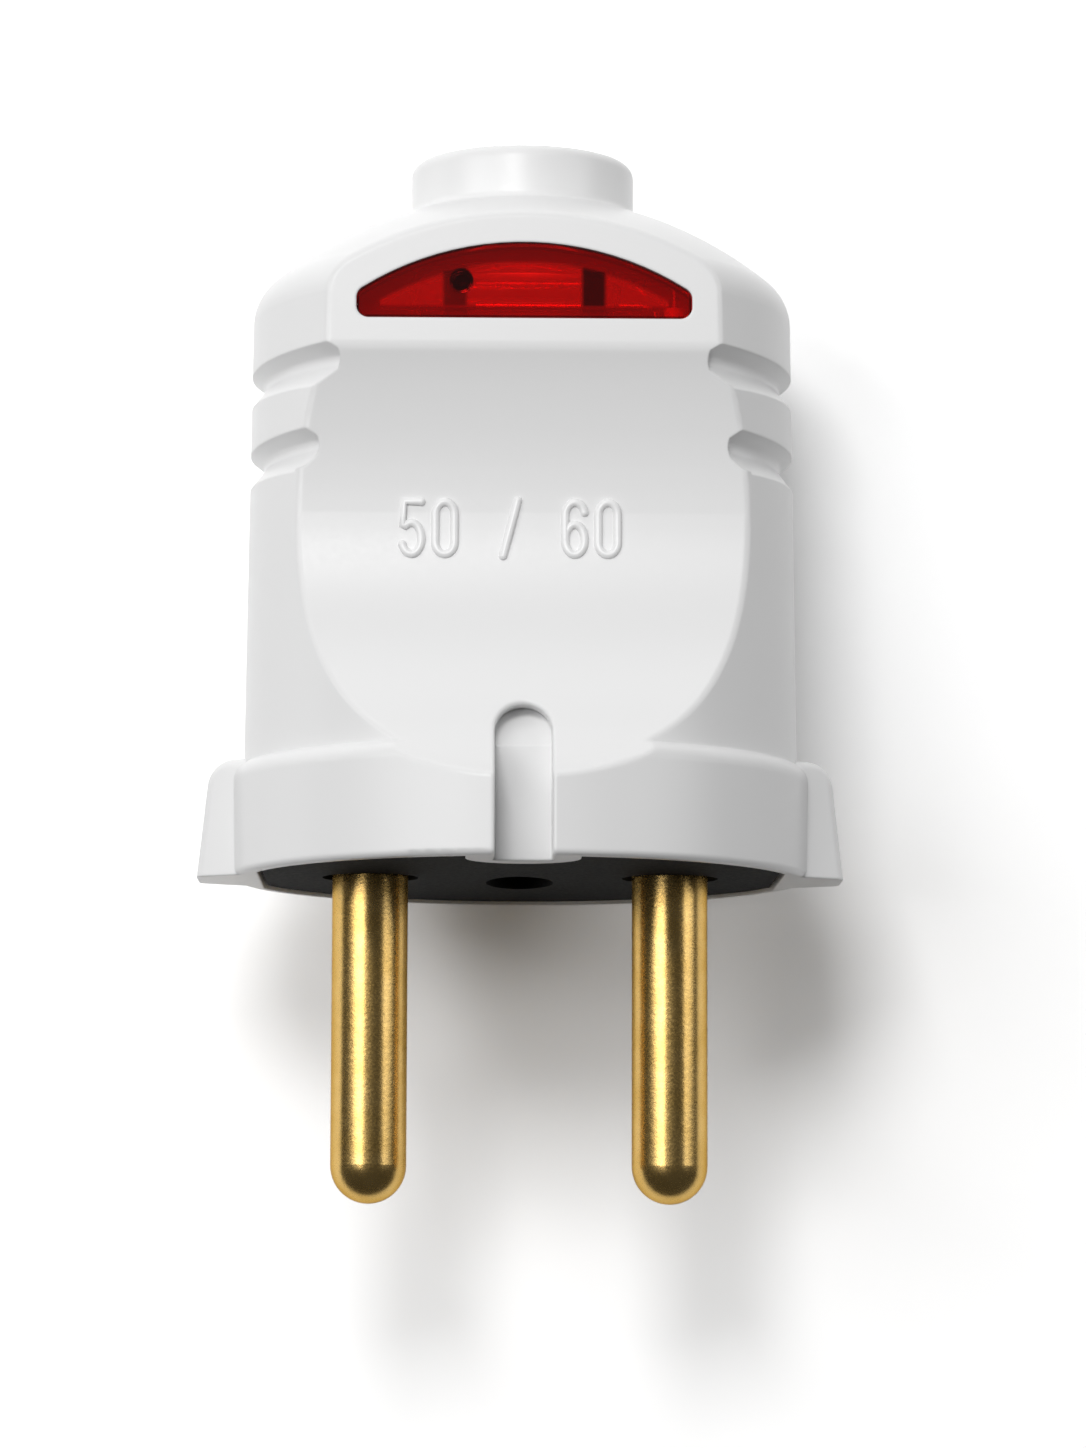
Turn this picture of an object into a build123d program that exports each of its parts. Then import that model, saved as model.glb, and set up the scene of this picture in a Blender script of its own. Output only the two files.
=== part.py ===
from build123d import *
import os
from math import asin, atan2, degrees, hypot, sqrt

# A rewirable two-pin plug with an indicator lamp, in millimetres.
# It is modelled upright: pins down along -Z, cable collar up, the lamp window towards -Y, and z = 0 at
# the rim of the flange. At the end every piece is laid on its back, as the plug comes to rest.

# Housing: one white moulding, turned about Z
flange_r = 18.3
flange_h = 7.3
foot_step = 0.7
body_draft = 0.4
dome_r = 25.0
dome_centre_z = 18.8
collar_r = 7.15
collar_top_z = 46.2
cable_bore_r = 4.0
wall = 1.8

# Roundings of the housing
shoulder_fillet = 3.0
collar_fillet = 0.8
collar_foot_fillet = 0.5
flange_top_fillet = 1.25
flange_rim_fillet = 0.4
shield_fillet = 0.5
clip_fillet = 0.2

# Front and back faces: a flat panel above a scoop for finger and thumb
panel_depth = 12.2
crease_z = 32.1
crease_fillet = 2.0
scoop_depth = 10.3
scoop_z = 22.0
scoop_lip = 2.5

# Grip grooves round both sides: height of each, and how far inside the body's side its ends are
grip_grooves = ((26.2, 4.5), (31.35, 5.8))
grip_depth = 0.95
grip_slope_up = 0.8
grip_slope_down = 1.3
grip_floor_r = 0.5
grip_centre_x = 0.9
grip_end_r = 1.45

# Ears at the flange's sides
ear_out = 2.1
ear_h = 7.5
ear_tip_half = 2.3
ear_root_half = 4.0
ear_draft = 6.0
ear_fillet = 0.8
ear_top_fillet = 1.8

# Clip groove at the flange's front
clip_r = 1.75
clip_top_z = 9.6
clip_depth = 3.9
clip_bend_z = 7.0
clip_slope_in = 2.5
clip_wall = 1.75
clip_jacket_wall = 2.2
clip_jacket_bend_z = 6.2
clip_jacket_end_wall = 2.0

# Seat of the insert
rim_wall = 0.85
seat_z = 3.0

# Window and lens of the indicator lamp
lens_w = 20.8
lens_h = 4.8
lens_bottom_z = 33.9
lens_end_h = 1.66
lens_corner_r = 0.75
lens_recess = 0.05
lens_gap = 0.08
lens_face = 1.0
lens_border_top = 1.2
lens_border_foot = 0.8
lens_border_end = 1.45
lens_field_corner_r = 0.12
lens_flange = 0.65
lens_flange_t = 0.8
lens_pip_r = 0.75
lens_pip_x = -3.9

# Insert: one black moulding that carries the pins, the terminals and the cord clamp
plate_recess = 0.2
plate_gap = 0.25
plate_flat_in = 1.25
tower_r = 4.4
tower_top_z = 10.0
ring_r = 3.05
ring_depth = 1.0
screw_y = 3.3
screw_boss_r = 3.9
screw_boss_top_z = 9.0
screw_hole_r = 2.1
screw_dish_half = (2.15, 4.4)
screw_dish_depth = 1.2
web_half = 4.6
web_front_y = -2.6
web_back_y = -0.9
guide_t = 1.0
guide_gap = 0.3
guide_top_z = 19.0
clamp_z = 24.5
clamp_half_h = 2.2
clamp_head_z = 20.0

# Pins, turned brass
pin_r = 2.4
pin_pitch = 19.0
pin_reach = 20.4
pin_root_r = 2.75
pin_root_z = 0.7
pin_head_r = 3.2
pin_head_h = 7.5
wire_bore_r = 1.2
wire_bore_depth = 5.5
terminal_drop = 3.0
terminal_flat_y = 2.9

# Screws
terminal_r = 1.45
terminal_head_r = 2.1
terminal_head_h = 1.6
centre_r = 1.25
centre_head_r = 1.95
centre_head_h = 1.8
centre_seat_z = 6.0
centre_length = 12.0
nut_side = 4.8
nut_h = 1.8
nut_z = 13.0
slot_w = 0.6
slot_share = 0.45

# Housing rib that takes the centre screw
rib_half = 3.4
rib_front_y = -0.6
rib_foot_z = 9.2
rib_top_z = 20.0
nut_slot_gap = 0.05

# Cord clamp and its screws
clamp_x = 5.6
clamp_boss_r = 2.0
cord_gap = 2.8
clamp_t = 1.5
clamp_end_r = 2.1
clamp_ridge = 0.7
clamp_screw_r = 1.1
clamp_head_r = 1.9
clamp_head_h = 1.1
clamp_screw_length = 6.0

# Lamp, its holder and its wiring
lamp_r = 1.9
lamp_wall = 0.45
lamp_left_x = -7.2
lamp_right_x = 6.2
pinch_left_x = 5.6
pinch_right_x = 7.4
pinch_t = 1.2
pinch_w = 2.6
lamp_y = -7.65
lamp_z = 36.2
electrode_left_x = -3.0
cheek_x = 4.3
cheek_t = 1.5
cheek_front_y = -10.3
cheek_back_y = -5.6
cheek_nose_low_z = 34.8
cheek_nose_top_z = 36.7
cheek_top_z = 37.2
cheek_mouth = 3.0
rail_half = 7.4
rail_h = 1.0
wire_r = 0.25
wire_pitch = 1.4
wire_bend = 0.8
wire_drop_y = -6.0
wire_low_z = 22.0
wire_turn_z = 19.2
resistor_r = 1.1
resistor_cap_r = 1.3
resistor_half = 3.3
resistor_cap = 1.1
resistor_y = -7.2
resistor_z = 31.0
link_x = 8.3
sleeve_r = 0.7
sleeve_trim = 1.6

# Worked out from the sizes above
body_foot_r = flange_r - foot_step
body_r = body_foot_r - body_draft
cavity_r = body_r - wall
ear_x = flange_r + ear_out
clip_floor_y = flange_r - clip_depth
clip_end_y = clip_floor_y - clip_slope_in
clip_jacket_y = clip_floor_y - clip_jacket_wall
clip_jacket_end_y = clip_end_y - clip_jacket_end_wall
pin_x = pin_pitch / 2
scoop_high_r = ((crease_z - scoop_z) ** 2 + (panel_depth - scoop_depth) ** 2) / (
    2 * (panel_depth - scoop_depth)
)
scoop_drop = flange_r - scoop_lip - scoop_depth
scoop_low_r = ((scoop_z - flange_h) ** 2 + scoop_drop**2) / (2 * scoop_drop)
pocket_r = flange_r - rim_wall
plate_r = pocket_r - plate_gap
plate_flat_x = pocket_r - plate_flat_in
outside = flange_r + 4
above = collar_top_z + 4
lens_rise = lens_h - lens_end_h
lens_arc_r = ((lens_w / 2) ** 2 + lens_rise**2) / (2 * lens_rise)
lens_mid_z = lens_bottom_z + lens_h / 2
pin_top_z = tower_top_z + pin_head_h
terminal_z = pin_top_z - terminal_drop
wire_y = wire_bore_r - wire_r
web_top_z = clamp_z + clamp_half_h
clamp_pad_y = web_front_y - cord_gap
clamp_front_y = clamp_pad_y - clamp_t
rail_z = lens_bottom_z - lens_flange
lens_back_y = -(panel_depth - wall - lens_flange_t)


def dome_z(radius, inset=0.0):
    """Height of the domed shoulder at a radius, or of its inner face at an inset."""
    return dome_centre_z + sqrt((dome_r - inset) ** 2 - radius**2)


def scoop_z_at(depth, inset=0.0):
    """Height at which the lower scoop reaches a depth, or its inner face at an inset."""
    centre = scoop_depth + scoop_low_r
    return scoop_z - sqrt((scoop_low_r + inset) ** 2 - (centre - depth) ** 2)


def lens_outline(end, foot, top, corner_r):
    """Half-moon: flat foot, short upright ends and one long arc, grown by three amounts."""
    half = lens_w / 2 + end
    arc_centre = lens_bottom_z + lens_h - lens_arc_r
    end_z = arc_centre + sqrt((lens_arc_r + top) ** 2 - half**2)
    foot_z = lens_bottom_z - foot
    top_z = lens_bottom_z + lens_h + top
    with BuildSketch() as outline:
        with BuildLine():
            Polyline((-half, end_z), (-half, foot_z), (half, foot_z), (half, end_z))
            ThreePointArc((half, end_z), (0, top_z), (-half, end_z))
        make_face()
        fillet(outline.vertices(), corner_r)
    return outline.sketch


def clip_outline(half, top_z):
    """Upright slot with a round top, as seen from the front."""
    with BuildSketch() as outline:
        with BuildLine():
            Polyline((-half, top_z - half), (-half, -1), (half, -1), (half, top_z - half))
            ThreePointArc((half, top_z - half), (0, top_z), (-half, top_z - half))
        make_face()
    return outline.sketch


def clip_cutter(half, top_z, floor_y, bend_z, end_y):
    """Clip groove, or the jacket round it, in the front of the flange."""
    with BuildPart() as cutter:
        with BuildSketch(Plane.XZ):
            add(clip_outline(half, top_z))
        extrude(amount=outside)
        with BuildSketch(Plane.YZ):
            with BuildLine():
                Polyline(
                    (-floor_y, -2),
                    (-floor_y, bend_z),
                    (-end_y, top_z),
                    (-end_y, top_z + 1),
                    (-outside, top_z + 1),
                    (-outside, -2),
                    close=True,
                )
            make_face()
        extrude(amount=outside, both=True, mode=Mode.INTERSECT)
    return cutter.part


def grip_groove(level, end_x):
    """V-shaped groove round the right side, with a round end at the front and the back."""
    floor_x = body_r - grip_depth
    reach = outside - floor_x
    with BuildPart() as groove:
        with BuildSketch(Plane.XZ) as profile:
            with BuildLine():
                Polyline(
                    (floor_x, level),
                    (outside, level - reach * grip_slope_down),
                    (outside, level + reach * grip_slope_up),
                    close=True,
                )
            make_face()
            fillet(profile.vertices().sort_by(Axis.X)[0], grip_floor_r)
        revolve(axis=Axis((grip_centre_x, 0, 0), (0, 0, 1)))
        with BuildSketch(Plane.XZ):
            with Locations((end_x + grip_end_r, level)):
                Circle(grip_end_r)
                Rectangle(outside, outside, align=(Align.MIN, Align.CENTER))
        extrude(amount=outside, both=True, mode=Mode.INTERSECT)
    return groove.part


def nose_outline(gap):
    """Rounded wall of the clip groove, as it reaches into the seat of the insert."""
    half = clip_r + clip_wall + gap
    centre_y = clip_jacket_y + clip_r + clip_wall
    with BuildSketch() as outline:
        with Locations((0, -centre_y)):
            Circle(half)
            Rectangle(2 * half, 2 * half, align=(Align.CENTER, Align.MAX))
    return outline.sketch


def screw(seat, shank_r, length, head_r, head_h):
    """Slotted screw: the seat plane is under its head and faces out of it."""
    with BuildPart() as turned_screw:
        with BuildSketch(seat):
            Circle(head_r)
        extrude(amount=head_h)
        rim = turned_screw.edges().sort_by(Axis(seat.origin, seat.z_dir))[-1]
        fillet(rim, head_h / 4)
        with BuildSketch(seat.offset(head_h)):
            Rectangle(2 * head_r, slot_w)
        extrude(amount=-head_h * slot_share, mode=Mode.SUBTRACT)
        with BuildSketch(seat):
            Circle(shank_r)
        extrude(amount=-length)
    return turned_screw.part


def facing_front(x, y, z):
    """Plane at a point, facing the front, with X across and Z up."""
    return Plane(origin=(x, y, z), x_dir=(1, 0, 0), z_dir=(0, -1, 0))


def turned_pin(x):
    """Brass pin: round-tipped shank, root pressed into the insert, head with wire bore."""
    tip_centre_z = pin_r - pin_reach
    diagonal = pin_r * sqrt(0.5)
    with BuildPart() as pin:
        with BuildSketch(facing_front(x, 0, 0)):
            with BuildLine():
                ThreePointArc(
                    (0, -pin_reach), (diagonal, tip_centre_z - diagonal), (pin_r, tip_centre_z)
                )
                Polyline(
                    (pin_r, tip_centre_z),
                    (pin_r, pin_root_z),
                    (pin_root_r, pin_root_z),
                    (pin_root_r, tower_top_z),
                    (pin_head_r, tower_top_z),
                    (pin_head_r, pin_top_z),
                    (0, pin_top_z),
                    (0, -pin_reach),
                )
            make_face()
        revolve(axis=Axis((x, 0, 0), (0, 0, 1)))
        with BuildSketch(Plane.XY.offset(pin_top_z)):
            with Locations((x, 0)):
                Circle(wire_bore_r)
        extrude(amount=-wire_bore_depth, mode=Mode.SUBTRACT)
        with BuildSketch(facing_front(x, -terminal_flat_y, tower_top_z + pin_head_h / 2)):
            Rectangle(2 * pin_head_r, pin_head_h)
        extrude(amount=pin_head_r, mode=Mode.SUBTRACT)
        with BuildSketch(facing_front(x, wire_y - wire_r, terminal_z)):
            Circle(terminal_r)
        extrude(amount=2 * pin_head_r, mode=Mode.SUBTRACT)
    return pin.part


def terminal_screw(x):
    """Screw that clamps the wire in the head of a pin."""
    return screw(
        facing_front(x, -terminal_flat_y, terminal_z),
        terminal_r,
        terminal_flat_y + wire_y - wire_r,
        terminal_head_r,
        terminal_head_h,
    )


def clamp_screw(x):
    """Screw of the cord clamp."""
    seat = facing_front(x, clamp_front_y, clamp_z)
    return screw(seat, clamp_screw_r, clamp_screw_length, clamp_head_r, clamp_head_h)


def wire(*points):
    """Bare wire along straight runs joined by small bends."""
    with BuildPart() as strand:
        with BuildLine() as route:
            FilletPolyline(*points, radius=wire_bend)
        with BuildSketch(Plane(origin=route.line @ 0, z_dir=route.line % 0)):
            Circle(wire_r)
        sweep()
    return strand.part


def sleeve(start, end):
    """Insulating sleeve on the straight run between two points of a wire."""
    run = Vector(end) - Vector(start)
    way = run.normalized()
    with BuildPart() as tube:
        with BuildSketch(Plane(origin=Vector(start) + way * sleeve_trim, z_dir=way)):
            Circle(sleeve_r)
            Circle(wire_r, mode=Mode.SUBTRACT)
        extrude(amount=run.length - 2 * sleeve_trim)
    return tube.part


clip_jacket = clip_cutter(
    clip_r + clip_wall, clip_top_z + clip_wall, clip_jacket_y, clip_jacket_bend_z, clip_jacket_end_y
)

# Hollow of the housing: seat for the insert, cavity with the walls following the outside, cable bore
with BuildPart() as hollow:
    with BuildSketch(Plane.XZ):
        with BuildLine():
            Polyline(
                (cable_bore_r, dome_z(cable_bore_r, wall)),
                (0, dome_z(cable_bore_r, wall)),
                (0, seat_z),
                (cavity_r, seat_z),
                (cavity_r, dome_z(cavity_r, wall)),
            )
            ThreePointArc(
                (cavity_r, dome_z(cavity_r, wall)),
                (cavity_r / 2, dome_z(cavity_r / 2, wall)),
                (cable_bore_r, dome_z(cable_bore_r, wall)),
            )
        make_face()
    revolve(axis=Axis.Z)
    inner_panel = panel_depth - wall
    inner_scoop = scoop_depth - wall
    inner_low_z = scoop_z_at(outside - wall, wall)
    mid_low_z = (scoop_z + inner_low_z) / 2
    with BuildSketch(Plane.YZ) as inner_side:
        with BuildLine():
            Line((0, inner_low_z), (outside - wall, inner_low_z))
            RadiusArc((outside - wall, inner_low_z), (inner_scoop, scoop_z), scoop_low_r + wall)
            RadiusArc((inner_scoop, scoop_z), (inner_panel, crease_z), scoop_high_r + wall)
            Polyline((inner_panel, crease_z), (inner_panel, above), (0, above), (0, inner_low_z))
        make_face()
        mirror(about=Plane.YZ)
    extrude(amount=outside, both=True, mode=Mode.INTERSECT)
    add(clip_jacket, mode=Mode.SUBTRACT)
    with BuildSketch():
        Circle(pocket_r)
        Rectangle(2 * (plate_flat_x + plate_gap), 2 * pocket_r, mode=Mode.INTERSECT)
        add(nose_outline(0), mode=Mode.SUBTRACT)
    extrude(amount=seat_z)
    with BuildSketch():
        Circle(cable_bore_r)
    extrude(amount=above)
    # Rib from the back wall that takes the centre screw
    with BuildSketch(Plane.XY.offset(rib_foot_z)):
        with Locations((0, rib_front_y)):
            Rectangle(2 * rib_half, outside, align=(Align.CENTER, Align.MIN))
    extrude(amount=rib_top_z - rib_foot_z, mode=Mode.SUBTRACT)
    with BuildSketch(Plane.XY.offset(rib_foot_z)):
        with Locations((0, screw_y)):
            Circle(centre_r)
    extrude(amount=centre_seat_z + centre_length + 0.5 - rib_foot_z)
    # Slot in the rib for the square nut, open to the front
    with BuildSketch(Plane.XY.offset(nut_z)):
        with Locations((0, rib_front_y)):
            Rectangle(
                nut_side + 2 * nut_slot_gap,
                screw_y + nut_side / 2 + nut_slot_gap - rib_front_y,
                align=(Align.CENTER, Align.MIN),
            )
    extrude(amount=nut_h)

# Grip grooves: V-shaped rings round both sides, with round ends on the front and back faces
with BuildPart() as grip_cutter:
    for level, end_in in grip_grooves:
        add(grip_groove(level, body_r - end_in))
    mirror(about=Plane.YZ)

with BuildPart() as side_cutter:
    low_z = scoop_z_at(outside)
    with BuildSketch(Plane.YZ) as side_cut:
        with BuildLine():
            RadiusArc((outside, low_z), (scoop_depth, scoop_z), scoop_low_r)
            RadiusArc((scoop_depth, scoop_z), (panel_depth, crease_z), scoop_high_r)
            Polyline((panel_depth, crease_z), (panel_depth, above), (outside, above), (outside, low_z))
        make_face()
        fillet(side_cut.vertices().sort_by_distance((panel_depth, crease_z))[0], crease_fillet)
        mirror(about=Plane.YZ)
    extrude(amount=outside, both=True)

# Flange, with the scoops running out over it
with BuildPart() as flange:
    with BuildSketch(Plane.XZ) as flange_side:
        with Locations((0, 0)):
            Rectangle(flange_r, flange_h, align=(Align.MIN, Align.MIN))
        fillet(flange_side.vertices().sort_by_distance((flange_r, 0))[0], flange_rim_fillet)
        fillet(flange_side.vertices().sort_by_distance((flange_r, flange_h))[0], flange_top_fillet)
    revolve(axis=Axis.Z)
    add(side_cutter.part, mode=Mode.SUBTRACT)
    fillet(flange.edges(Select.LAST), shield_fillet)

# Grip body with its dome and cable collar
with BuildPart() as grip_body:
    with BuildSketch(Plane.XZ) as turned:
        with BuildLine():
            Polyline(
                (0, collar_top_z),
                (0, seat_z),
                (body_foot_r, seat_z),
                (body_r, dome_z(body_r)),
            )
            ThreePointArc(
                (body_r, dome_z(body_r)),
                ((body_r + collar_r) / 2, dome_z((body_r + collar_r) / 2)),
                (collar_r, dome_z(collar_r)),
            )
            Polyline((collar_r, dome_z(collar_r)), (collar_r, collar_top_z), (0, collar_top_z))
        make_face()
        for corner, radius in (
            ((body_r, dome_z(body_r)), shoulder_fillet),
            ((collar_r, dome_z(collar_r)), collar_foot_fillet),
            ((collar_r, collar_top_z), collar_fillet),
        ):
            fillet(turned.vertices().sort_by_distance(corner)[0], radius)
    revolve(axis=Axis.Z)
    add(side_cutter.part, mode=Mode.SUBTRACT)
    fillet(grip_body.edges(Select.LAST).filter_by(lambda e: e.center().Z > flange_h), shield_fillet)
    add(grip_cutter.part, mode=Mode.SUBTRACT)

# Ears: they lean in towards the top, and their free edges are rounded
with BuildPart() as ears:
    with BuildSketch():
        with BuildLine():
            Polyline(
                (cavity_r, -ear_root_half),
                (pocket_r, -ear_root_half),
                (ear_x, -ear_tip_half),
                (ear_x, ear_tip_half),
                (pocket_r, ear_root_half),
                (cavity_r, ear_root_half),
                close=True,
            )
        make_face()
        mirror(about=Plane.YZ)
    extrude(amount=ear_h, taper=ear_draft)
    raised = ears.edges().filter_by(lambda e: e.center().Z > 0.1)
    fillet(raised.filter_by(Axis.Y).group_by(SortBy.LENGTH)[0], ear_top_fillet)
    tips = ears.edges().filter_by(lambda e: abs(e.center().X) > pocket_r + 0.3 and e.center().Z > 0.1)
    fillet(tips, ear_fillet)

with BuildPart() as housing:
    add(grip_body.part)
    add(flange.part)
    add(ears.part)
    add(clip_cutter(clip_r, clip_top_z, clip_floor_y, clip_bend_z, clip_end_y), mode=Mode.SUBTRACT)
    mouths = housing.edges(Select.LAST).filter_by(
        lambda e: abs(e.center().X) < clip_r + 0.01
        and e.center().Z > 0.1
        and e.geom_type != GeomType.ELLIPSE
        and (e.geom_type != GeomType.LINE or abs(e.center().Y) > flange_r - 0.5)
    )
    fillet(mouths, clip_fillet)
    add(hollow.part, mode=Mode.SUBTRACT)
    with BuildSketch(Plane.XZ.offset(panel_depth + 1)):
        add(lens_outline(0, 0, 0, lens_corner_r))
    extrude(amount=-(wall + 2), mode=Mode.SUBTRACT)
housing.part.label = "housing"

# Lens: a tray whose flange bears on the inside of the window's wall
lens_depth = wall + lens_flange_t - lens_recess
with BuildPart() as indicator_lens:
    with BuildSketch(Plane.XZ.offset(-lens_back_y)):
        add(lens_outline(lens_flange, lens_flange, lens_flange, lens_corner_r + lens_flange / 2))
    extrude(amount=lens_flange_t)
    with BuildSketch(Plane.XZ.offset(-lens_back_y)):
        add(lens_outline(-lens_gap, -lens_gap, -lens_gap, lens_corner_r))
    extrude(amount=lens_depth)
    with BuildSketch(Plane.XZ.offset(-lens_back_y)):
        add(lens_outline(-lens_border_end, -lens_border_foot, -lens_border_top, lens_field_corner_r))
    extrude(amount=lens_depth - lens_face, mode=Mode.SUBTRACT)
    with Locations((lens_pip_x, lens_back_y - lens_depth + lens_face, lens_mid_z)):
        Sphere(lens_pip_r)
indicator_lens.part.label = "indicator_lens"

# Insert
with BuildPart() as insert:
    with BuildSketch(Plane.XY.offset(plate_recess)):
        Circle(plate_r)
        Rectangle(2 * plate_flat_x, 2 * plate_r, mode=Mode.INTERSECT)
        add(nose_outline(plate_gap), mode=Mode.SUBTRACT)
    extrude(amount=seat_z - plate_recess)
    with BuildSketch(Plane.XY.offset(seat_z)):
        with Locations((-pin_x, 0), (pin_x, 0)):
            Circle(tower_r)
    extrude(amount=tower_top_z - seat_z)
    with BuildSketch(Plane.XY.offset(seat_z)):
        with Locations((0, screw_y)):
            Circle(screw_boss_r)
    extrude(amount=screw_boss_top_z - seat_z)
    # Web between the terminals, with a channel that guides the rib of the housing
    with BuildSketch(Plane.XY.offset(seat_z)):
        with Locations((0, web_front_y)):
            Rectangle(2 * web_half, web_back_y - web_front_y, align=(Align.CENTER, Align.MIN))
    extrude(amount=web_top_z - seat_z)
    guide_x = rib_half + guide_gap
    with BuildSketch(Plane.XY.offset(seat_z)):
        for side in (-1, 1):
            with Locations((side * (guide_x + guide_t / 2), web_back_y)):
                Rectangle(guide_t, screw_y - web_back_y, align=(Align.CENTER, Align.MIN))
    extrude(amount=guide_top_z - seat_z)
    # Head of the web: the seat of the cord clamp
    head_half = clamp_x + clamp_boss_r
    with BuildSketch(Plane.XY.offset(clamp_head_z)):
        with Locations((0, web_front_y)):
            Rectangle(2 * head_half, web_back_y - web_front_y, align=(Align.CENTER, Align.MIN))
    extrude(amount=web_top_z - clamp_head_z)
    clamp_hole_y = clamp_front_y + clamp_screw_length
    with BuildSketch(Plane.XZ.offset(-clamp_hole_y - 1)):
        with Locations((-clamp_x, clamp_z), (clamp_x, clamp_z)):
            Circle(clamp_boss_r)
    extrude(amount=clamp_hole_y + 1 - clamp_pad_y)
    with BuildSketch(Plane.XZ.offset(-clamp_hole_y)):
        with Locations((-clamp_x, clamp_z), (clamp_x, clamp_z)):
            Circle(clamp_screw_r)
    extrude(amount=clamp_hole_y - clamp_pad_y, mode=Mode.SUBTRACT)
    # Bores for the pins and the centre screw
    with BuildSketch(Plane.XY.offset(plate_recess)):
        with Locations((-pin_x, 0), (pin_x, 0)):
            Circle(pin_root_r)
    extrude(amount=tower_top_z - plate_recess, mode=Mode.SUBTRACT)
    with BuildSketch(Plane.XY.offset(plate_recess)):
        with Locations((-pin_x, 0), (pin_x, 0)):
            Circle(ring_r)
    extrude(amount=ring_depth, mode=Mode.SUBTRACT)
    with BuildSketch(Plane.XY.offset(plate_recess)):
        with Locations((0, screw_y)):
            Ellipse(*screw_dish_half)
    extrude(amount=screw_dish_depth, mode=Mode.SUBTRACT)
    with BuildSketch(Plane.XY.offset(plate_recess)):
        with Locations((0, screw_y)):
            Circle(screw_hole_r)
    extrude(amount=centre_seat_z - plate_recess, mode=Mode.SUBTRACT)
    with BuildSketch(Plane.XY.offset(plate_recess)):
        with Locations((0, screw_y)):
            Circle(centre_r)
    extrude(amount=screw_boss_top_z - plate_recess, mode=Mode.SUBTRACT)
insert.part.label = "insert"

# Screw and nut that hold the insert in the housing
with BuildPart() as centre_screw:
    add(
        screw(
            Plane(origin=(0, screw_y, centre_seat_z), x_dir=(1, 0, 0), z_dir=(0, 0, -1)),
            centre_r,
            centre_length,
            centre_head_r,
            centre_head_h,
        )
    )
centre_screw.part.label = "centre_screw"

with BuildPart() as square_nut:
    with BuildSketch(Plane.XY.offset(nut_z)):
        with Locations((0, screw_y)):
            Rectangle(nut_side, nut_side)
            Circle(centre_r, mode=Mode.SUBTRACT)
    extrude(amount=nut_h)
square_nut.part.label = "square_nut"

# Cord clamp: a bar across the cord's channel, with a ridge that bites the cord
with BuildPart() as cord_clamp:
    with BuildSketch(facing_front(0, clamp_pad_y, clamp_z)):
        SlotCenterToCenter(2 * clamp_x, 2 * clamp_end_r)
        with Locations((-clamp_x, 0), (clamp_x, 0)):
            Circle(clamp_screw_r, mode=Mode.SUBTRACT)
    extrude(amount=clamp_t)
    with BuildSketch(facing_front(0, clamp_pad_y, clamp_z)):
        Rectangle(2 * (clamp_x - clamp_boss_r) - 1, 1)
    extrude(amount=-clamp_ridge)
cord_clamp.part.label = "cord_clamp"

# Lamp holder: a rail behind the lens with two cradles that reach into its tray
with BuildPart() as lamp_holder:
    with BuildSketch(Plane.XY.offset(rail_z)):
        with Locations((0, lens_back_y)):
            Rectangle(2 * rail_half, cheek_back_y - lens_back_y, align=(Align.CENTER, Align.MIN))
    extrude(amount=rail_h)
    for side in (-1, 1):
        with BuildSketch(Plane.YZ.offset(side * cheek_x - cheek_t / 2)):
            with BuildLine():
                Polyline(
                    (cheek_back_y, rail_z + rail_h / 2),
                    (lens_back_y, rail_z + rail_h / 2),
                    (lens_back_y, cheek_nose_low_z),
                    (cheek_front_y, cheek_nose_low_z),
                    (cheek_front_y, cheek_nose_top_z),
                    (lens_back_y, cheek_nose_top_z),
                    (lens_back_y, cheek_top_z),
                    (cheek_back_y, cheek_top_z),
                    close=True,
                )
            make_face()
            with Locations((lamp_y, lamp_z)):
                Circle(lamp_r, mode=Mode.SUBTRACT)
                Rectangle(cheek_mouth, 3 * lamp_r, align=(Align.CENTER, Align.MIN), mode=Mode.SUBTRACT)
        extrude(amount=cheek_t)
lamp_holder.part.label = "lamp_holder"

# Neon lamp: glass bulb with a flat pinch, and two wires that are also its electrodes
lamp_axis = Axis((0, lamp_y, lamp_z), (1, 0, 0))
lead_low_z = lamp_z - wire_pitch / 2
lead_high_z = lamp_z + wire_pitch / 2


def bulb_outline(inset):
    """Half outline of the bulb, round at both ends, along X from its axis."""
    radius = lamp_r - inset
    left = lamp_left_x + lamp_r
    right = lamp_right_x - lamp_r
    diagonal = radius * sqrt(0.5)
    with BuildSketch() as outline:
        with BuildLine():
            ThreePointArc((left - radius, 0), (left - diagonal, diagonal), (left, radius))
            Line((left, radius), (right, radius))
            ThreePointArc((right, radius), (right + diagonal, diagonal), (right + radius, 0))
            Line((right + radius, 0), (left - radius, 0))
        make_face()
    return outline.sketch


with BuildPart() as neon_lamp:
    with BuildSketch(facing_front(0, lamp_y, lamp_z)):
        add(bulb_outline(0))
    revolve(axis=lamp_axis)
    with BuildSketch(Plane.YZ.offset(pinch_left_x)):
        with Locations((lamp_y, lamp_z)):
            Rectangle(pinch_t, pinch_w)
    extrude(amount=pinch_right_x - pinch_left_x)
    with BuildSketch(facing_front(0, lamp_y, lamp_z)):
        add(bulb_outline(lamp_wall))
    revolve(axis=lamp_axis, mode=Mode.SUBTRACT)
    with BuildSketch(Plane.YZ.offset(pinch_right_x)):
        with Locations((lamp_y, lead_low_z), (lamp_y, lead_high_z)):
            Circle(wire_r)
    extrude(amount=-(pinch_right_x - lamp_right_x + lamp_r), mode=Mode.SUBTRACT)
neon_lamp.part.label = "neon_lamp"

right_drop = ((pin_x, lamp_y, lead_high_z), (pin_x, wire_drop_y, wire_low_z))
left_drop = ((-pin_x, resistor_y, resistor_z), (-pin_x, wire_drop_y, wire_low_z))
wire_foot_z = pin_top_z - wire_bore_depth

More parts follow.
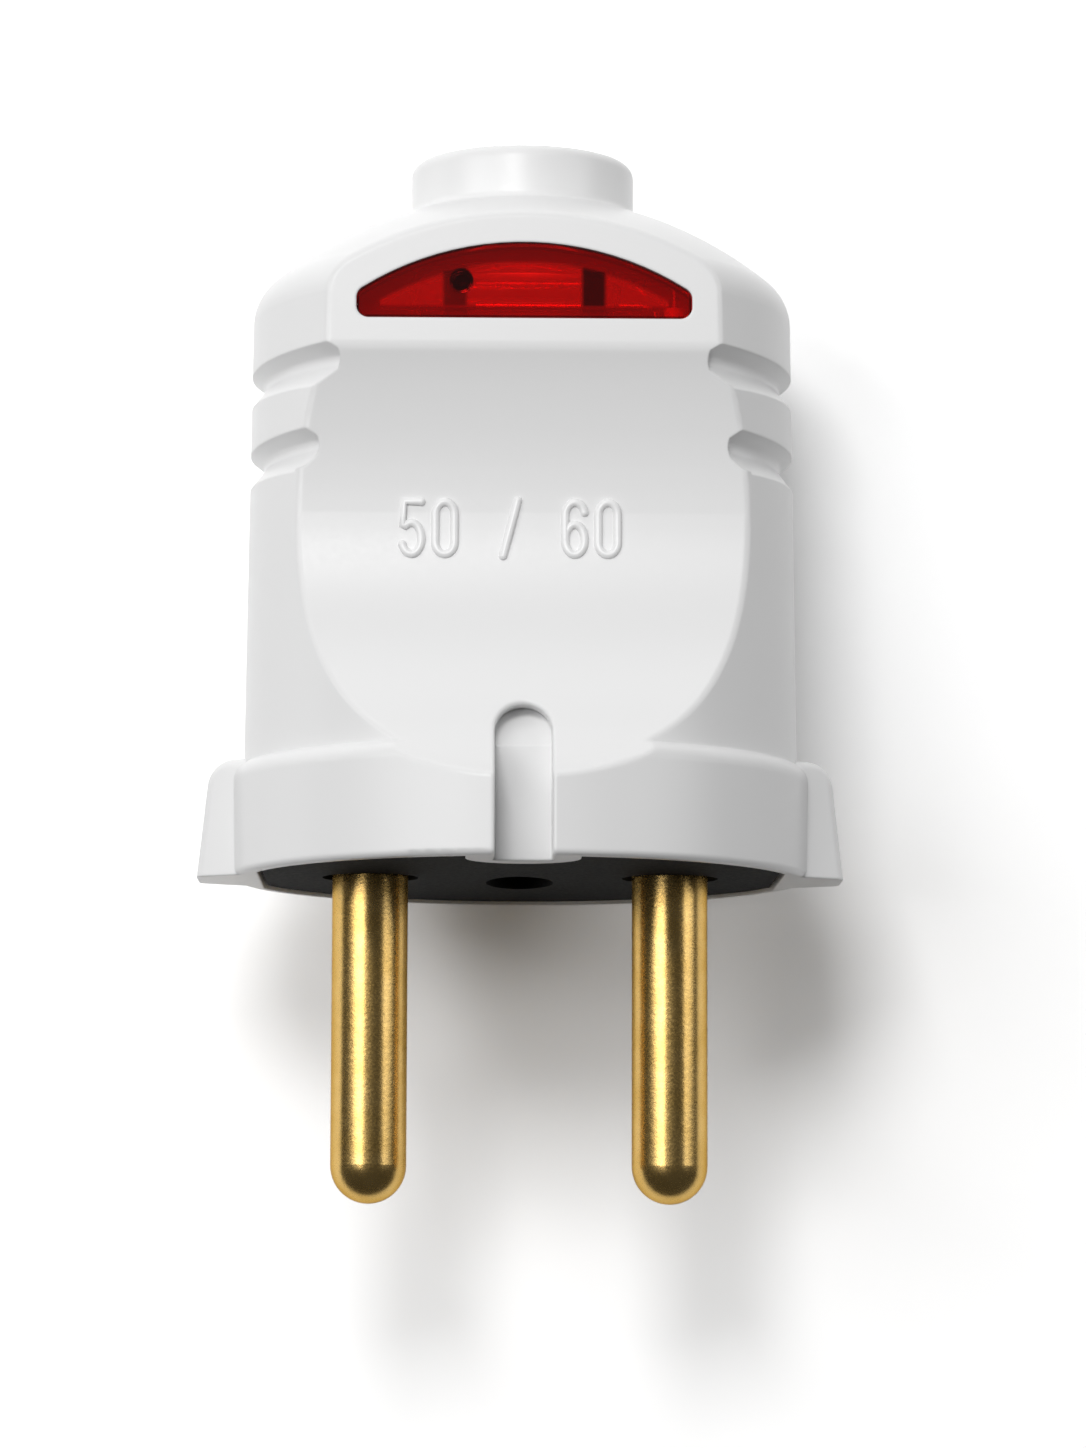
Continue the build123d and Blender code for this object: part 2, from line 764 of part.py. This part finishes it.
with BuildPart() as lamp_lead_right:
    add(
        wire(
            (electrode_left_x, lamp_y, lead_high_z),
            *right_drop,
            (pin_x, wire_y, wire_turn_z),
            (pin_x, wire_y, wire_foot_z),
        )
    )
lamp_lead_right.part.label = "lamp_lead_right"

with BuildPart() as lamp_lead_left:
    add(
        wire(
            (electrode_left_x, lamp_y, lead_low_z),
            (link_x, lamp_y, lead_low_z),
            (link_x, resistor_y, resistor_z),
            (resistor_half, resistor_y, resistor_z),
        )
    )
lamp_lead_left.part.label = "lamp_lead_left"

with BuildPart() as resistor:
    with BuildSketch(facing_front(0, resistor_y, resistor_z)):
        with BuildLine():
            Polyline(
                (-resistor_half, 0),
                (-resistor_half, resistor_cap_r),
                (-resistor_half + resistor_cap, resistor_cap_r),
                (-resistor_half + resistor_cap + 0.4, resistor_r),
                (resistor_half - resistor_cap - 0.4, resistor_r),
                (resistor_half - resistor_cap, resistor_cap_r),
                (resistor_half, resistor_cap_r),
                (resistor_half, 0),
                close=True,
            )
        make_face()
    revolve(axis=Axis((0, resistor_y, resistor_z), (1, 0, 0)))
    fillet(resistor.edges().filter_by(GeomType.CIRCLE).group_by(Axis.X)[0], 0.3)
    fillet(resistor.edges().filter_by(GeomType.CIRCLE).group_by(Axis.X)[-1], 0.3)
resistor.part.label = "resistor"

with BuildPart() as resistor_lead:
    add(
        wire(
            (-resistor_half, resistor_y, resistor_z),
            *left_drop,
            (-pin_x, wire_y, wire_turn_z),
            (-pin_x, wire_y, wire_foot_z),
        )
    )
resistor_lead.part.label = "resistor_lead"

with BuildPart() as sleeve_left:
    add(sleeve(*left_drop))
sleeve_left.part.label = "sleeve_left"

with BuildPart() as sleeve_right:
    add(sleeve(*right_drop))
sleeve_right.part.label = "sleeve_right"

pieces = [
    housing.part,
    indicator_lens.part,
    insert.part,
    centre_screw.part,
    square_nut.part,
    cord_clamp.part,
    lamp_holder.part,
    neon_lamp.part,
    lamp_lead_left.part,
    lamp_lead_right.part,
    resistor.part,
    resistor_lead.part,
    sleeve_left.part,
    sleeve_right.part,
]
for side, x in (("left", -1), ("right", 1)):
    for name, piece in (
        ("pin_" + side, turned_pin(x * pin_x)),
        ("terminal_screw_" + side, terminal_screw(x * pin_x)),
        ("clamp_screw_" + side, clamp_screw(x * clamp_x)),
    ):
        piece.label = name
        pieces.append(piece)

# The plug comes to rest on its back: on the rounded upper edge of the flange and the rounded upper
# edge of the back panel, so its pins point a little upwards.
panel_round_y = panel_depth - shield_fillet
step_y = flange_r - flange_top_fillet - panel_round_y
step_z = dome_centre_z + sqrt((dome_r - shield_fillet) ** 2 - panel_round_y**2) - flange_h + flange_top_fillet
lean = atan2(step_y, step_z) + asin((flange_top_fillet - shield_fillet) / hypot(step_y, step_z))
rest_tilt = degrees(lean)
turn = Rotation(-90 - rest_tilt, 0, 0)
box = Compound(children=[turn * piece for piece in pieces]).bounding_box()
rest = Location((0, -box.center().Y, -box.min.Z)) * turn

os.makedirs("parts", exist_ok=True)
for piece in pieces:
    laid = rest * piece
    laid.label = piece.label
    export_step(laid, "parts/" + piece.label + ".step")
print("rest tilt", round(rest_tilt, 3), "rest shift", rest.position)
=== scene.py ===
from math import cos, radians, sin

import bmesh
import bpy
from mathutils import Matrix, Vector


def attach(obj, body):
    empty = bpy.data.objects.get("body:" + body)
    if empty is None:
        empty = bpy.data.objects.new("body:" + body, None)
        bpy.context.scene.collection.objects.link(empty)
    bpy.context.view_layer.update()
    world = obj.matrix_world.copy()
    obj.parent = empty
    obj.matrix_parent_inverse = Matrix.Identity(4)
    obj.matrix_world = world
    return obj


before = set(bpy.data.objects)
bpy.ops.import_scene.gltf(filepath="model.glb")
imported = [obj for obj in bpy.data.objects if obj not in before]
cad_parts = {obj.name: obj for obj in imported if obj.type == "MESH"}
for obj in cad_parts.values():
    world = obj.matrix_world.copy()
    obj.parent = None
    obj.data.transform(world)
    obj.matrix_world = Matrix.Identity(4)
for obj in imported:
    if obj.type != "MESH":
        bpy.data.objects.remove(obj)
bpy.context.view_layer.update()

MM = 0.001

# The photograph's frame and the camera that took it, looking almost straight down on the plug
PHOTO_HEIGHT_PX = 1448
FOCAL_PX = 5075.0
SENSOR_HEIGHT = 36.0
CAMERA_PLACE = (-3.97 * MM, 14.83 * MM, 340.0 * MM)
CAMERA_TURN = (-0.0563, -0.0164, 0.006)
CAMERA_NEAR = 0.01

# Soft boxes: place, size (across, then up and down) and power. The long one on the left and the smaller one
# on the right draw the two pale streaks on each pin, and the key lights the dome from beyond the collar
LAMPS = {
    "key": ((-0.097, 0.330, 0.550), (0.20, 0.16), 1.58),
    "left": ((-0.385, 0.185, 0.490), (0.22, 0.54), 1.62),
    "right": ((0.520, 0.150, 0.320), (0.20, 0.36), 0.48),
    "back": ((-0.06, 0.560, 0.200), (0.40, 0.24), 0.52),
}
LAMP_AIM = Vector((0, 0, 15 * MM))
WORLD_LEVEL = 0.07
TABLE_SIZE = 3.0
TABLE_BOUNCE = 0.88
TABLE_SEEN = 1.60

# The plug's own frame: modelled upright, laid on its back by this turn about X and this shift
REST_TURN = radians(-100.11)
REST_SHIFT = (0.0, -13.2446 * MM, 19.0973 * MM)

# Where a noise's values are taken as lowest and highest: all of its range, its clouds and its grains
NOISE_LOW, NOISE_HIGH = 0.30, 0.70
CLOUD_LOW, CLOUD_HIGH = 0.35, 0.65
GRAIN_LOW, GRAIN_HIGH = 0.38, 0.62

# Moulded skins: how far the roughness swings either way, and how deep a full bump is
SKIN_SWING = 0.1
SKIN_DEPTH_MM = 0.02

# Brass: sizes of its clouds, of the dents from tumbling and of its specks, with the relief of the last two
BRASS_CLOUD_MM = 1.6
BRASS_DENT_MM = 0.32
BRASS_DENT_DEPTH_MM = 0.03
BRASS_DENT_BUMP = 0.25
BRASS_SPECK_MM = 0.12
BRASS_SPECK_DEPTH_MM = 0.01
BRASS_SPECK_BUMP = 0.1
BRASS_SMOOTH, BRASS_DULL = 0.21, 0.29

# Plating: size of its clouds, and how far the roughness swings either way
PLATING_CLOUD_MM = 0.5
PLATING_SWING = 0.2

# The lens in the plug's own millimetres: its outline, border, the posts behind it and its pip, with the
# widths of the painted shade at its edge and round the posts
LENS_ARC_R = 18.79
LENS_ARC_CENTRE = (0, 0, 19.91)
LENS_FOOT_Z = 33.9
LENS_HALF = 10.4
LENS_BORDER_TOP = 1.2
LENS_BORDER_FOOT = 0.8
LENS_BORDER_END = 1.45
LENS_EDGE = 0.16
LENS_BLUR = 0.05
LENS_POST_X = 4.3
LENS_POST_HALF = 0.72
LENS_POST_BLUR = 0.14
LENS_PIP = (-3.9, 0, 36.3)
LENS_PIP_R = 0.73
LENS_FROST_MM = 0.09

# Raised figures in the front scoop, in the plug's own millimetres: each with the X of its middle
MARK_FOOT_Z = 19.35
MARK_HEIGHT = 3.3
MARK_HALF = 0.6
MARK_BEND = 0.78
MARK_STROKE_R = 0.27
MARK_LINE = (("5", -6.9), ("0", -4.85), ("/", -0.8), ("6", 3.2), ("0", 5.25))
MARK_ARC_STEP = 12
MARK_RAY_START = 30.0


def linear(hex_colour):
    """An sRGB hex colour as linear RGBA."""
    channels = [int(hex_colour[i:i + 2], 16) / 255 for i in (0, 2, 4)]
    return tuple(c / 12.92 if c <= 0.04045 else ((c + 0.055) / 1.055) ** 2.4 for c in channels) + (1.0,)


def node(tree, kind, settings=None, **links):
    """Adds a node. A link names an input, or numbers it as in i2, and holds its value or its socket."""
    made = tree.nodes.new(kind)
    for name, value in (settings or {}).items():
        setattr(made, name, value)
    for name, value in links.items():
        socket = made.inputs[int(name[1:]) if name[1:].isdigit() else name.replace("_", " ")]
        if isinstance(value, bpy.types.NodeSocket):
            tree.links.new(value, socket)
        else:
            socket.default_value = value
    return made


def new_material(name):
    """An empty material with its output, and the tree to build it in."""
    material = bpy.data.materials.new(name)
    material.use_nodes = True
    tree = material.node_tree
    tree.nodes.clear()
    return material, tree, tree.nodes.new("ShaderNodeOutputMaterial")


def grain_place(tree, grain_mm):
    """Object coordinates, counted in grains of this size."""
    place = node(tree, "ShaderNodeTexCoord").outputs["Object"]
    scale = 1 / (grain_mm * MM)
    return node(tree, "ShaderNodeMapping", Vector=place, Scale=(scale, scale, scale)).outputs["Vector"]


def moulded_plastic(name, colour, roughness, grain_mm, bump, specular=0.5, edge_mm=0.0):
    """Moulded plastic: a skin as smooth as the tool that shaped it, with a very fine uneven grain."""
    material, tree, output = new_material(name)
    grain = node(
        tree, "ShaderNodeTexNoise", Vector=grain_place(tree, grain_mm), Scale=1.0, Detail=3.0, Roughness=0.6,
    )
    rough = node(
        tree, "ShaderNodeMapRange", Value=grain.outputs["Fac"], i1=NOISE_LOW, i2=NOISE_HIGH,
        i3=roughness * (1 - SKIN_SWING), i4=roughness * (1 + SKIN_SWING),
    )
    normal = node(
        tree, "ShaderNodeBump", Height=grain.outputs["Fac"], Strength=bump, Distance=SKIN_DEPTH_MM * MM,
    )
    if edge_mm:
        soft = node(tree, "ShaderNodeBevel", {"samples": 6}, Radius=edge_mm * MM)
        tree.links.new(soft.outputs["Normal"], normal.inputs["Normal"])
    shader = node(
        tree, "ShaderNodeBsdfPrincipled", Base_Color=linear(colour), Roughness=rough.outputs["Result"],
        IOR=1.53, Specular_IOR_Level=specular, Normal=normal.outputs["Normal"],
    )
    tree.links.new(shader.outputs["BSDF"], output.inputs["Surface"])
    return material


def turned_brass(name):
    """Turned and tumbled brass: satin, with a skin of fine dents and small dull specks.

    The specks are finer on the real pins, and are drawn as coarse as they need to show.
    """
    material, tree, output = new_material(name)
    cloud = node(tree, "ShaderNodeTexNoise", Vector=grain_place(tree, BRASS_CLOUD_MM), Scale=1.0, Detail=4.0)
    dent = node(
        tree, "ShaderNodeTexNoise", Vector=grain_place(tree, BRASS_DENT_MM), Scale=1.0, Detail=3.0,
        Roughness=0.6,
    )
    speck = node(tree, "ShaderNodeTexNoise", Vector=grain_place(tree, BRASS_SPECK_MM), Scale=1.0, Detail=2.0)
    tone = node(tree, "ShaderNodeMapRange", Value=cloud.outputs["Fac"], i1=CLOUD_LOW, i2=CLOUD_HIGH)
    colour = node(
        tree, "ShaderNodeMix", {"data_type": "RGBA"}, i0=tone.outputs["Result"],
        i6=linear("CBA762"), i7=linear("D6B370"),
    )
    rough = node(
        tree, "ShaderNodeMapRange", Value=speck.outputs["Fac"], i1=NOISE_LOW, i2=NOISE_HIGH,
        i3=BRASS_SMOOTH, i4=BRASS_DULL,
    )
    dented = node(
        tree, "ShaderNodeBump", Height=dent.outputs["Fac"], Strength=BRASS_DENT_BUMP,
        Distance=BRASS_DENT_DEPTH_MM * MM,
    )
    normal = node(
        tree, "ShaderNodeBump", Height=speck.outputs["Fac"], Strength=BRASS_SPECK_BUMP,
        Distance=BRASS_SPECK_DEPTH_MM * MM, Normal=dented.outputs["Normal"],
    )
    shader = node(
        tree, "ShaderNodeBsdfPrincipled", Base_Color=colour.outputs[2], Metallic=1.0,
        Specular_Tint=linear("CBBAA0"), Roughness=rough.outputs["Result"],
        Normal=normal.outputs["Normal"],
    )
    tree.links.new(shader.outputs["BSDF"], output.inputs["Surface"])
    return material


def clear_red_plastic(name):
    """Red polycarbonate, polished: its field is frosted behind, and its border is darker where it is thick.
    Its thin outer edge and the posts seen through it carry painted shade: the dark gap round the lens and the
    shaded posts behind it.

    The frosting is finer on the real lens, and is drawn as coarse as it needs to show.
    """
    material, tree, output = new_material(name)
    place = node(tree, "ShaderNodeTexCoord").outputs["Object"]
    upright = node(
        tree, "ShaderNodeMapping", {"vector_type": "TEXTURE"}, Vector=place,
        Location=REST_SHIFT, Rotation=(REST_TURN, 0, 0), Scale=(MM, MM, MM),
    )
    axes = node(tree, "ShaderNodeSeparateXYZ", Vector=upright.outputs["Vector"]).outputs
    across, height = axes["X"], axes["Z"]
    face = node(tree, "ShaderNodeCombineXYZ", X=across, Z=height).outputs["Vector"]
    off_arch, off_pip = [
        node(tree, "ShaderNodeVectorMath", {"operation": "DISTANCE"}, i0=face, i1=point).outputs["Value"]
        for point in (LENS_ARC_CENTRE, LENS_PIP)
    ]
    sideways = []
    for middle in (0, -LENS_POST_X, LENS_POST_X):
        offset = node(tree, "ShaderNodeMath", {"operation": "SUBTRACT"}, i0=across, i1=middle).outputs[0]
        sideways.append(node(tree, "ShaderNodeMath", {"operation": "ABSOLUTE"}, i0=offset).outputs[0])
    off_middle, off_left_post, off_right_post = sideways
    frost = node(tree, "ShaderNodeTexNoise", Vector=grain_place(tree, LENS_FROST_MM), Scale=1.0, Detail=2.0)
    grain = node(tree, "ShaderNodeMapRange", Value=frost.outputs["Fac"], i1=GRAIN_LOW, i2=GRAIN_HIGH)
    shade = node(
        tree, "ShaderNodeMix", {"data_type": "RGBA"}, i0=grain.outputs["Result"],
        i6=linear("F80C0A"), i7=linear("FF1C14"),
    ).outputs[2]
    # Each tone covers the ones before it: the posts behind the field, the border, the edge, the pip. The
    # posts' darker reds, the right one darker than the left, are painted shade of the posts seen through the
    # lens, and the dark edge is painted shade of the gap round the lens
    for measure, bound, blur, tone in (
        (off_left_post, LENS_POST_HALF, -LENS_POST_BLUR, "A00404"),
        (off_right_post, LENS_POST_HALF, -LENS_POST_BLUR, "6C0202"),
        (off_arch, LENS_ARC_R - LENS_BORDER_TOP, LENS_BLUR, "D40606"),
        (off_middle, LENS_HALF - LENS_BORDER_END, LENS_BLUR, "D40606"),
        (height, LENS_FOOT_Z + LENS_BORDER_FOOT, -LENS_BLUR, "D40606"),
        (off_arch, LENS_ARC_R - LENS_EDGE, LENS_BLUR, "4A0101"),
        (off_middle, LENS_HALF - LENS_EDGE, LENS_BLUR, "4A0101"),
        (height, LENS_FOOT_Z + LENS_EDGE, -LENS_BLUR, "4A0101"),
        (off_pip, LENS_PIP_R, -LENS_BLUR, "3C0404"),
    ):
        share = node(tree, "ShaderNodeMapRange", Value=measure, i1=bound - blur, i2=bound + blur)
        shade = node(
            tree, "ShaderNodeMix", {"data_type": "RGBA"}, i0=share.outputs["Result"],
            i6=shade, i7=linear(tone),
        ).outputs[2]
    shader = node(
        tree, "ShaderNodeBsdfPrincipled", Base_Color=shade, Roughness=0.04, IOR=1.58, Transmission_Weight=0.8,
    )
    rays = node(tree, "ShaderNodeLightPath").outputs
    passing = node(tree, "ShaderNodeBsdfTransparent", Color=linear("FF5A50"))
    both = node(
        tree, "ShaderNodeMixShader", i0=rays["Is Shadow Ray"], i1=shader.outputs[0], i2=passing.outputs[0],
    )
    tree.links.new(both.outputs[0], output.inputs["Surface"])
    return material


def plated_metal(name, colour, roughness):
    """Zinc or tin plating: pale, a little cloudy."""
    material, tree, output = new_material(name)
    cloud = node(
        tree, "ShaderNodeTexNoise", Vector=grain_place(tree, PLATING_CLOUD_MM), Scale=1.0, Detail=3.0,
    )
    rough = node(
        tree, "ShaderNodeMapRange", Value=cloud.outputs["Fac"], i1=NOISE_LOW, i2=NOISE_HIGH,
        i3=roughness * (1 - PLATING_SWING), i4=roughness * (1 + PLATING_SWING),
    )
    shader = node(
        tree, "ShaderNodeBsdfPrincipled", Base_Color=linear(colour), Metallic=1.0,
        Roughness=rough.outputs["Result"],
    )
    tree.links.new(shader.outputs["BSDF"], output.inputs["Surface"])
    return material


def bulb_glass(name):
    """Soda glass of the lamp's bulb: clear and thin, it lets light on to what is behind it."""
    material, tree, output = new_material(name)
    shader = node(
        tree, "ShaderNodeBsdfPrincipled", Base_Color=linear("FFF4EE"), Roughness=0.02, IOR=1.5,
        Transmission_Weight=1.0,
    )
    rays = node(tree, "ShaderNodeLightPath").outputs
    passing = node(tree, "ShaderNodeBsdfTransparent", Color=linear("F4EFEC"))
    both = node(
        tree, "ShaderNodeMixShader", i0=rays["Is Shadow Ray"], i1=shader.outputs[0], i2=passing.outputs[0],
    )
    tree.links.new(both.outputs[0], output.inputs["Surface"])
    return material


# A polished tool gives the housing a soft sheen, and its edges are rounded as in the mould
white_abs = moulded_plastic(
    "white ABS, moulded in a polished tool", "EBEBEB", roughness=0.33, grain_mm=0.35, bump=0.08,
    specular=0.38, edge_mm=0.22,
)
# A grained tool leaves the base's plate almost without gloss
black_abs = moulded_plastic(
    "black ABS, moulded with a fine grain", "0D0D0C", roughness=0.75, grain_mm=0.25, bump=0.5, specular=0.05,
)
# The lamp's holder is a little smoother, nearly black behind the red
dark_abs = moulded_plastic("dark grey ABS", "1A1616", roughness=0.5, grain_mm=0.3, bump=0.2)
# Cut smoother into the same tool, the figures catch a little more light; their colour, a little lighter than
# the housing's, is painted light
mark_abs_painted_lighter = moulded_plastic("white ABS, raised figures", "F2F2F2", roughness=0.30, grain_mm=0.35, bump=0.05)
# Dipped lacquer: smooth and slightly uneven
cream_coat = moulded_plastic("resistor lacquer", "C9AE7A", roughness=0.35, grain_mm=0.4, bump=0.2)
# Soft tube with a dull, waxy gloss
sleeve_pvc = moulded_plastic("soft PVC sleeve", "D8D6CE", roughness=0.45, grain_mm=0.5, bump=0.2)
brass = turned_brass("turned brass, tumbled")
red_lens = clear_red_plastic("clear red polycarbonate, polished")
zinc = plated_metal("zinc plated steel", "B9BABA", roughness=0.32)
tin = plated_metal("tinned copper wire", "C4C3BE", roughness=0.28)
glass = bulb_glass("bulb glass")

FINISH = {
    "housing": white_abs,
    "indicator_lens": red_lens,
    "insert": black_abs,
    "pin_left": brass,
    "pin_right": brass,
    "centre_screw": zinc,
    "square_nut": zinc,
    "terminal_screw_left": zinc,
    "terminal_screw_right": zinc,
    "cord_clamp": black_abs,
    "clamp_screw_left": zinc,
    "clamp_screw_right": zinc,
    "lamp_holder": dark_abs,
    "neon_lamp": glass,
    "lamp_lead_left": tin,
    "lamp_lead_right": tin,
    "resistor": cream_coat,
    "resistor_lead": tin,
    "sleeve_left": sleeve_pvc,
    "sleeve_right": sleeve_pvc,
}
for name, material in FINISH.items():
    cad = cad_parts[name]
    cad.data.materials.clear()
    cad.data.materials.append(material)


def arc(middle_x, middle_z, radius_x, radius_z, start, end):
    """Points along part of an ellipse, in degrees, anticlockwise if the end is larger."""
    steps = max(6, round(abs(end - start) / MARK_ARC_STEP))
    angles = [radians(start + (end - start) * i / steps) for i in range(steps + 1)]
    return [(middle_x + radius_x * cos(a), middle_z + radius_z * sin(a)) for a in angles]


def figure_strokes():
    """Each figure's stroke, round its own middle and up from its foot, by its half width and its height."""
    half, top, bend = MARK_HALF, MARK_HEIGHT, MARK_BEND
    five = [(half * 0.95, top), (-half * 0.8, top), (-half * 0.92, top * 0.56)]
    five += arc(-0.02, top * 0.3, half * 1.02, top * 0.3, 128, -158)
    zero = arc(0, top - bend, half, bend, 0, 180) + arc(0, bend, half, bend, 180, 360)
    six = arc(0, top - bend, half, bend, 12, 180) + arc(0, top * 0.29, half, top * 0.29, 180, 540)
    slash = [(-half * 0.75, -0.1), (half * 0.75, top + 0.1)]
    return {"5": five, "0": zero, "6": six, "/": slash}


def marking():
    """Raised figures in the front scoop: each stroke is a round bead, half sunk in the surface."""
    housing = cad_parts["housing"]
    laid = Matrix.Translation(REST_SHIFT) @ Matrix.Rotation(REST_TURN, 4, "X")
    toward = laid.to_3x3() @ Vector((0, 1, 0))
    strokes = figure_strokes()
    shape = bmesh.new()
    for figure, middle in MARK_LINE:
        points = strokes[figure]
        closed = figure == "0"
        curve = bpy.data.curves.new("stroke", "CURVE")
        curve.dimensions = "3D"
        curve.bevel_depth = MARK_STROKE_R * MM
        curve.bevel_resolution = 3
        line = curve.splines.new("POLY")
        line.points.add(len(points) - 1)
        line.use_cyclic_u = closed
        for point, (x, z) in zip(line.points, points):
            start = laid @ Vector(((middle + x) * MM, -MARK_RAY_START * MM, (MARK_FOOT_Z + z) * MM))
            place = housing.ray_cast(start, toward)[1]
            point.co = (*place, 1)
            # A round cap at each end of an open stroke
            if not closed and point in (line.points[0], line.points[-1]):
                bmesh.ops.create_uvsphere(
                    shape, u_segments=16, v_segments=10, radius=MARK_STROKE_R * MM,
                    matrix=Matrix.Translation(place),
                )
        bead = bpy.data.objects.new("stroke", curve)
        shape.from_mesh(bead.to_mesh())
        bead.to_mesh_clear()
        bpy.data.objects.remove(bead)
        bpy.data.curves.remove(curve)
    bmesh.ops.recalc_face_normals(shape, faces=shape.faces)
    for face in shape.faces:
        face.smooth = True
    mesh = bpy.data.meshes.new("raised_figures")
    shape.to_mesh(mesh)
    shape.free()
    mesh.materials.append(mark_abs_painted_lighter)
    piece = bpy.data.objects.new("raised_figures", mesh)
    bpy.context.scene.collection.objects.link(piece)
    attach(piece, "root")


def white_table(name):
    """Matt white table top, whiter where it is seen, as the photograph's overexposed background is."""
    material, tree, output = new_material(name)
    rays = node(tree, "ShaderNodeLightPath").outputs
    seen = rays["Is Camera Ray"]
    for kind in ("Is Glossy Ray", "Is Transmission Ray"):
        seen = node(tree, "ShaderNodeMath", {"operation": "MAXIMUM"}, i0=seen, i1=rays[kind]).outputs[0]
    level = node(tree, "ShaderNodeMapRange", Value=seen, i3=TABLE_BOUNCE, i4=TABLE_SEEN)
    diffuse = node(tree, "ShaderNodeBsdfDiffuse", Color=level.outputs["Result"])
    tree.links.new(diffuse.outputs[0], output.inputs["Surface"])
    return material


def table():
    """The white surface the plug lies on."""
    shape = bmesh.new()
    bmesh.ops.create_grid(shape, x_segments=1, y_segments=1, size=TABLE_SIZE / 2)
    mesh = bpy.data.meshes.new("table")
    shape.to_mesh(mesh)
    shape.free()
    mesh.materials.append(white_table("white table"))
    top = bpy.data.objects.new("table", mesh)
    bpy.context.scene.collection.objects.link(top)


def lamp(name, place, size, power):
    """Soft box at a place, aimed at the middle of the plug."""
    light = bpy.data.lights.new(name, "AREA")
    light.shape = "RECTANGLE"
    light.size, light.size_y = size
    light.energy = power
    holder = bpy.data.objects.new(name, light)
    holder.location = place
    holder.rotation_euler = (LAMP_AIM - Vector(place)).to_track_quat("-Z", "Y").to_euler()
    bpy.context.scene.collection.objects.link(holder)


def surroundings():
    """Dim surroundings: a dark room round the lamps."""
    world = bpy.data.worlds.new("surroundings")
    bpy.context.scene.world = world
    world.use_nodes = True
    backdrop = world.node_tree.nodes["Background"]
    backdrop.inputs["Color"].default_value = linear("FFFFFF")
    backdrop.inputs["Strength"].default_value = WORLD_LEVEL


def photo_camera():
    """The photograph's viewpoint."""
    data = bpy.data.cameras.new("camera")
    data.sensor_fit = "VERTICAL"
    data.sensor_height = SENSOR_HEIGHT
    data.lens = FOCAL_PX * SENSOR_HEIGHT / PHOTO_HEIGHT_PX
    data.clip_start = CAMERA_NEAR
    holder = bpy.data.objects.new("camera", data)
    holder.location = CAMERA_PLACE
    holder.rotation_euler = CAMERA_TURN
    bpy.context.scene.collection.objects.link(holder)
    bpy.context.scene.camera = holder


marking()
table()
for name, (place, size, power) in LAMPS.items():
    lamp(name, place, size, power)
surroundings()
photo_camera()
bpy.context.scene.view_settings.view_transform = "Standard"
